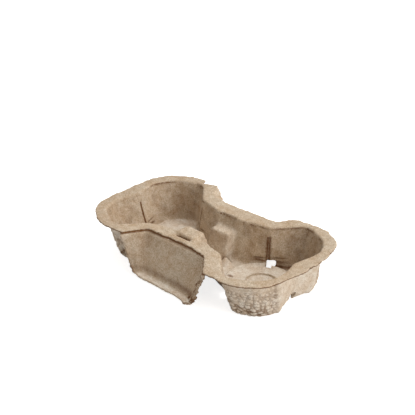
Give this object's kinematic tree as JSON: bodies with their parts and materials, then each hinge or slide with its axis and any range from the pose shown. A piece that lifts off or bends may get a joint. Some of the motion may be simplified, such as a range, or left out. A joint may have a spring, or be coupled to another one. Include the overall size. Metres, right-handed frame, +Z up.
{
  "type": "two-cup carrier in moulded pulp",
  "caption": "Moulded pulp tray that holds two drinks cups upright by their feet, side by side in joined pockets.",
  "frame": {"origin": "on the table under the middle of the carrier", "axes": "+X along the length, +Y from the long side with the raised pad to the long side with the ledge, +Z up"},
  "size_m": [0.22, 0.129, 0.042],
  "materials": {
    "pulp": "matt, rough grey-brown paper fibre"
  },
  "bodies": {
    "root": {"cup_carrier": "pulp"}
  },
  "joints": []
}
